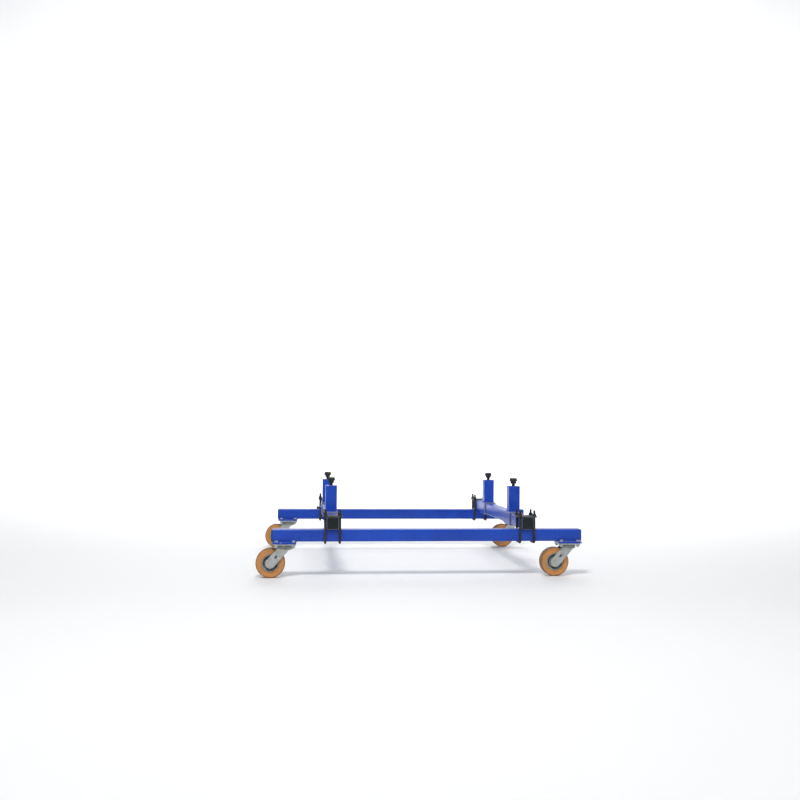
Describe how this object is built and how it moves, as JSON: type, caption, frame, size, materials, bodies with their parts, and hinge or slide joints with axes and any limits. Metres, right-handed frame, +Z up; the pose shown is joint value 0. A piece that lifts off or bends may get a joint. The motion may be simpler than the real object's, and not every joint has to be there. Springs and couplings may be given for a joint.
{
  "type": "vehicle body dolly",
  "caption": "Adjustable rolling frame: square-tube rails on swivel casters, clamped cross tubes and sliding saddle posts that carry a raised vehicle body.",
  "frame": {"origin": "middle of the whole dolly's box, at floor level", "axes": "+X along the rails to the front, +Y across to the left rail, +Z up"},
  "size_m": [1.7384, 1.354, 0.5094],
  "materials": {
    "blue_paint": "gloss",
    "zinc": "satin",
    "black_steel": "satin",
    "black_plastic": "matte",
    "grey_core": "satin",
    "polyurethane": "satin",
    "rubber": "matte"
  },
  "bodies": {
    "right_side": {"rail_right": "blue_paint", "rail_plug_front_right": "black_plastic", "mount_plate_front_right": "blue_paint", "caster_plate_front_right": "zinc", "rail_plug_rear_right": "black_plastic", "mount_plate_rear_right": "blue_paint", "caster_plate_rear_right": "zinc"},
    "left_side": {"rail_left": "blue_paint", "rail_plug_front_left": "black_plastic", "mount_plate_front_left": "blue_paint", "caster_plate_front_left": "zinc", "rail_plug_rear_left": "black_plastic", "mount_plate_rear_left": "blue_paint", "caster_plate_rear_left": "zinc"},
    "front_cross": {"cross_tube_front": "blue_paint", "cross_plug_front_right": "black_plastic", "cross_plug_front_left": "black_plastic", "u_bolt_front_right_front": "black_steel", "u_bolt_front_right_rear": "black_steel", "clamp_plate_front_right": "black_steel"},
    "front_left_clamp": {"u_bolt_front_left_front": "black_steel", "u_bolt_front_left_rear": "black_steel", "clamp_plate_front_left": "black_steel"},
    "rear_cross": {"cross_tube_rear": "blue_paint", "cross_plug_rear_right": "black_plastic", "cross_plug_rear_left": "black_plastic", "u_bolt_rear_right_front": "black_steel", "u_bolt_rear_right_rear": "black_steel", "clamp_plate_rear_right": "black_steel"},
    "rear_left_clamp": {"u_bolt_rear_left_front": "black_steel", "u_bolt_rear_left_rear": "black_steel", "clamp_plate_rear_left": "black_steel"},
    "front_right_post": {"post_carrier_front_right": "blue_paint"},
    "front_right_saddle": {"saddle_stem_front_right": "black_steel", "saddle_pad_front_right": "rubber"},
    "front_right_swivel": {"caster_fork_front_right": "zinc", "caster_axle_front_right": "zinc"},
    "front_right_wheel": {"wheel_core_front_right": "grey_core", "wheel_tread_front_right": "polyurethane"},
    "front_left_post": {"post_carrier_front_left": "blue_paint"},
    "front_left_saddle": {"saddle_stem_front_left": "black_steel", "saddle_pad_front_left": "rubber"},
    "front_left_swivel": {"caster_fork_front_left": "zinc", "caster_axle_front_left": "zinc"},
    "front_left_wheel": {"wheel_core_front_left": "grey_core", "wheel_tread_front_left": "polyurethane"},
    "rear_right_post": {"post_carrier_rear_right": "blue_paint"},
    "rear_right_saddle": {"saddle_stem_rear_right": "black_steel", "saddle_pad_rear_right": "rubber"},
    "rear_right_swivel": {"caster_fork_rear_right": "zinc", "caster_axle_rear_right": "zinc"},
    "rear_right_wheel": {"wheel_core_rear_right": "grey_core", "wheel_tread_rear_right": "polyurethane"},
    "rear_left_post": {"post_carrier_rear_left": "blue_paint"},
    "rear_left_saddle": {"saddle_stem_rear_left": "black_steel", "saddle_pad_rear_left": "rubber"},
    "rear_left_swivel": {"caster_fork_rear_left": "zinc", "caster_axle_rear_left": "zinc"},
    "rear_left_wheel": {"wheel_core_rear_left": "grey_core", "wheel_tread_rear_left": "polyurethane"}
  },
  "joints": [
    {"name": "track_width", "type": "slide", "parent": "right_side", "child": "left_side", "axis": [0, 1, 0], "range_m": [-0.1, 0]},
    {"name": "front_cross_slide", "type": "slide", "parent": "right_side", "child": "front_cross", "axis": [1, 0, 0], "range_m": [-0.4, 0.11]},
    {"name": "front_left_clamp_slide", "type": "slide", "parent": "front_cross", "child": "front_left_clamp", "axis": [0, 1, 0], "range_m": [-0.1, 0]},
    {"name": "rear_cross_slide", "type": "slide", "parent": "right_side", "child": "rear_cross", "axis": [1, 0, 0], "range_m": [-0.125, 0.4]},
    {"name": "rear_left_clamp_slide", "type": "slide", "parent": "rear_cross", "child": "rear_left_clamp", "axis": [0, 1, 0], "range_m": [-0.1, 0]},
    {"name": "front_right_post_slide", "type": "slide", "parent": "front_cross", "child": "front_right_post", "axis": [0, 1, 0], "range_m": [-0.16, 0.25]},
    {"name": "front_right_saddle_height", "type": "slide", "parent": "front_right_post", "child": "front_right_saddle", "axis": [0, 0, 1], "range_m": [-0.013, 0.05]},
    {"name": "front_right_swivel_turn", "type": "hinge", "parent": "right_side", "child": "front_right_swivel", "pos_m": [0.79895, -0.62, 0.15], "axis": [0, 0, 1], "continuous": true},
    {"name": "front_right_wheel_spin", "type": "hinge", "parent": "front_right_swivel", "child": "front_right_wheel", "pos_m": [0.72495, -0.62, 0.0762], "axis": [0, 1, 0], "continuous": true},
    {"name": "front_left_post_slide", "type": "slide", "parent": "front_cross", "child": "front_left_post", "axis": [0, 1, 0], "range_m": [-0.25, 0.06]},
    {"name": "front_left_saddle_height", "type": "slide", "parent": "front_left_post", "child": "front_left_saddle", "axis": [0, 0, 1], "range_m": [-0.013, 0.05]},
    {"name": "front_left_swivel_turn", "type": "hinge", "parent": "left_side", "child": "front_left_swivel", "pos_m": [0.79895, 0.62, 0.15], "axis": [0, 0, 1], "continuous": true},
    {"name": "front_left_wheel_spin", "type": "hinge", "parent": "front_left_swivel", "child": "front_left_wheel", "pos_m": [0.72495, 0.62, 0.0762], "axis": [0, 1, 0], "continuous": true},
    {"name": "rear_right_post_slide", "type": "slide", "parent": "rear_cross", "child": "rear_right_post", "axis": [0, 1, 0], "range_m": [-0.16, 0.25]},
    {"name": "rear_right_saddle_height", "type": "slide", "parent": "rear_right_post", "child": "rear_right_saddle", "axis": [0, 0, 1], "range_m": [-0.013, 0.05]},
    {"name": "rear_right_swivel_turn", "type": "hinge", "parent": "right_side", "child": "rear_right_swivel", "pos_m": [-0.71905, -0.62, 0.15], "axis": [0, 0, 1], "continuous": true},
    {"name": "rear_right_wheel_spin", "type": "hinge", "parent": "rear_right_swivel", "child": "rear_right_wheel", "pos_m": [-0.79305, -0.62, 0.0762], "axis": [0, 1, 0], "continuous": true},
    {"name": "rear_left_post_slide", "type": "slide", "parent": "rear_cross", "child": "rear_left_post", "axis": [0, 1, 0], "range_m": [-0.25, 0.06]},
    {"name": "rear_left_saddle_height", "type": "slide", "parent": "rear_left_post", "child": "rear_left_saddle", "axis": [0, 0, 1], "range_m": [-0.013, 0.05]},
    {"name": "rear_left_swivel_turn", "type": "hinge", "parent": "left_side", "child": "rear_left_swivel", "pos_m": [-0.71905, 0.62, 0.15], "axis": [0, 0, 1], "continuous": true},
    {"name": "rear_left_wheel_spin", "type": "hinge", "parent": "rear_left_swivel", "child": "rear_left_wheel", "pos_m": [-0.79305, 0.62, 0.0762], "axis": [0, 1, 0], "continuous": true}
  ],
  "couplings": [
    {"joint": "front_left_clamp_slide", "follows": "track_width", "ratio": 1},
    {"joint": "rear_left_clamp_slide", "follows": "track_width", "ratio": 1}
  ]
}
